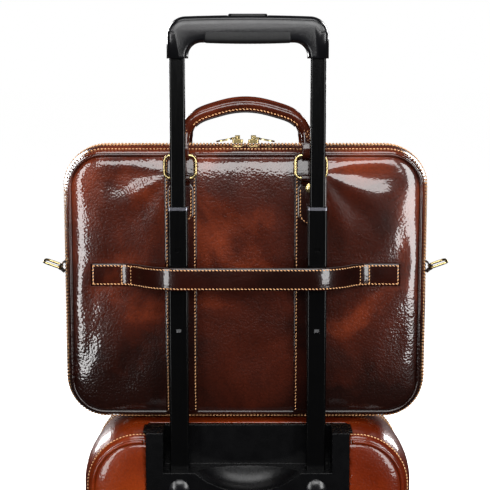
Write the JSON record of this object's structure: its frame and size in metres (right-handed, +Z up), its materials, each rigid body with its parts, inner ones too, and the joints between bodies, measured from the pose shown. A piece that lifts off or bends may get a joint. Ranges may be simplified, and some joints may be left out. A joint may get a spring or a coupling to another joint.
{
  "type": "rolling laptop case",
  "caption": "Leather laptop bag held by its back strap on the two-stage pull handle of a wheeled leather case.",
  "frame": {"origin": "on the floor, under the middle of the wheeled case; X = 0 is the middle of the pull handle", "axes": "+Z up; +X to the right seen from behind; -Y towards the pull handle and the back, +Y towards the lid"},
  "size_m": [0.4844, 0.204, 0.998],
  "materials": {
    "tan_leather": "glossy, lightly pebbled",
    "brown_leather": "glossy, pebbled, with broad wrinkles",
    "dark_leather": "semi gloss",
    "brass": "polished",
    "black_tube": "satin",
    "tube_rim": "satin",
    "black_plastic": "fine moulded texture",
    "soft_grip": "soft, ribbed",
    "tyre_rubber": "matte",
    "steel": "brushed",
    "lining": "woven"
  },
  "bodies": {
    "case": {"case_shell": "tan_leather", "tube_board": "lining", "base_plate": "black_plastic", "tube_bracket": "black_plastic", "trolley_housing": "black_plastic", "wheel_pod_L": "black_plastic", "wheel_pod_R": "black_plastic", "axle_L": "steel", "axle_R": "steel", "foot_L": "black_plastic", "foot_R": "black_plastic", "outer_tube_L": "black_tube", "outer_tube_R": "black_tube", "screw_cap_L": "black_plastic", "screw_cap_R": "black_plastic"},
    "wheel_L": {"tyre_L": "tyre_rubber", "hub_L": "black_plastic"},
    "wheel_R": {"tyre_R": "tyre_rubber", "hub_R": "black_plastic"},
    "lid": {"lid_shell": "tan_leather"},
    "case_slider": {"case_slider": "brass"},
    "middle_stage": {"middle_tube_L": "black_tube", "middle_tube_R": "black_tube", "collar_L": "tube_rim", "collar_R": "tube_rim"},
    "inner_stage": {"inner_tube_L": "black_tube", "inner_tube_R": "black_tube", "grip_shell": "black_plastic", "grip_insert": "soft_grip"},
    "release": {"release_button": "black_plastic", "release_yoke": "steel"},
    "lock_L": {"lock_tongue_L": "steel"},
    "lock_R": {"lock_tongue_R": "steel"},
    "bag": {"bag_back": "brown_leather", "bag_zip": "lining", "laptop_sleeve": "lining", "trolley_strap": "brown_leather", "back_strap_L": "brown_leather", "back_strap_R": "brown_leather", "back_chape_L": "brown_leather", "back_chape_R": "brown_leather", "back_ring_L": "brass", "back_ring_R": "brass", "side_tab_L": "dark_leather", "side_tab_R": "dark_leather"},
    "back_handle": {"back_handle": "brown_leather"},
    "bag_front": {"bag_front": "brown_leather", "front_strap_L": "brown_leather", "front_strap_R": "brown_leather", "front_chape_L": "brown_leather", "front_chape_R": "brown_leather"},
    "front_rings": {"front_ring_L": "brass", "front_ring_R": "brass"},
    "front_handle": {"front_handle": "brown_leather"},
    "zip_L": {"zip_slider_L": "brass"},
    "zip_R": {"zip_slider_R": "brass"},
    "pull_L": {"zip_pull_L": "brass"},
    "pull_R": {"zip_pull_R": "brass"},
    "side_ring_L": {"side_ring_L": "brass"},
    "side_ring_R": {"side_ring_R": "brass"}
  },
  "joints": [
    {"name": "wheel_L_spin", "type": "hinge", "parent": "case", "child": "wheel_L", "pos_m": [-0.152, -0.075, 0.027], "axis": [1, 0, 0], "continuous": true},
    {"name": "wheel_R_spin", "type": "hinge", "parent": "case", "child": "wheel_R", "pos_m": [0.152, -0.075, 0.027], "axis": [1, 0, 0], "continuous": true},
    {"name": "lid_opening", "type": "hinge", "parent": "case", "child": "lid", "pos_m": [-0.1933, 0.04635, 0.2775], "axis": [0, 0, 1], "range_deg": [0, 160]},
    {"name": "case_slider_travel", "type": "slide", "parent": "case", "child": "case_slider", "axis": [1, 0, 0], "range_m": [-0.18, 0.02]},
    {"name": "middle_stage_travel", "type": "slide", "parent": "case", "child": "middle_stage", "axis": [0, 0, 1], "range_m": [-0.3, 0]},
    {"name": "inner_stage_travel", "type": "slide", "parent": "middle_stage", "child": "inner_stage", "axis": [0, 0, 1], "range_m": [-0.165, 0.095]},
    {"name": "release_press", "type": "slide", "parent": "inner_stage", "child": "release", "axis": [0, 0, -1], "range_m": [0, 0.004], "stiffness_N_per_m": 900, "springref_m": -0.004},
    {"name": "lock_L_draw", "type": "slide", "parent": "inner_stage", "child": "lock_L", "axis": [0, 1, 0], "range_m": [0, 0.003]},
    {"name": "lock_R_draw", "type": "slide", "parent": "inner_stage", "child": "lock_R", "axis": [0, 1, 0], "range_m": [0, 0.003]},
    {"name": "bag_lift", "type": "slide", "parent": "case", "child": "bag", "axis": [0, 0, 1], "range_m": [0, 0.45]},
    {"name": "back_handle_swing", "type": "hinge", "parent": "bag", "child": "back_handle", "pos_m": [-0.0025, -0.0636, 0.8366], "axis": [-1, 0, 0], "range_deg": [-6, 12]},
    {"name": "bag_opening", "type": "hinge", "parent": "bag", "child": "bag_front", "pos_m": [-0.0025, 0.037, 0.517], "axis": [-1, 0, 0], "range_deg": [0, 70]},
    {"name": "front_rings_swing", "type": "hinge", "parent": "bag_front", "child": "front_rings", "pos_m": [-0.0025, 0.0426, 0.8104], "axis": [-1, 0, 0], "range_deg": [0, 90]},
    {"name": "front_handle_swing", "type": "hinge", "parent": "front_rings", "child": "front_handle", "pos_m": [-0.0025, 0.0426, 0.8366], "axis": [-1, 0, 0], "range_deg": [-12, 80]},
    {"name": "zip_L_travel", "type": "slide", "parent": "bag", "child": "zip_L", "axis": [-1, 0, 0], "range_m": [0, 0.12]},
    {"name": "zip_R_travel", "type": "slide", "parent": "bag", "child": "zip_R", "axis": [1, 0, 0], "range_m": [0, 0.12]},
    {"name": "pull_L_lift", "type": "hinge", "parent": "zip_L", "child": "pull_L", "pos_m": [-0.012, -0.01065, 0.8547], "axis": [0, 1, 0], "range_deg": [0, 80]},
    {"name": "pull_R_lift", "type": "hinge", "parent": "zip_R", "child": "pull_R", "pos_m": [0.007, -0.01065, 0.8547], "axis": [0, -1, 0], "range_deg": [0, 80]},
    {"name": "side_ring_L_swing", "type": "hinge", "parent": "bag", "child": "side_ring_L", "pos_m": [-0.2235, -0.028, 0.701], "axis": [0, 1, 0], "range_deg": [-100, 50]},
    {"name": "side_ring_R_swing", "type": "hinge", "parent": "bag", "child": "side_ring_R", "pos_m": [0.2185, -0.028, 0.701], "axis": [0, -1, 0], "range_deg": [-100, 50]}
  ],
  "couplings": [
    {"joint": "lock_L_draw", "follows": "release_press", "ratio": 0.75},
    {"joint": "lock_R_draw", "follows": "release_press", "ratio": 0.75}
  ]
}
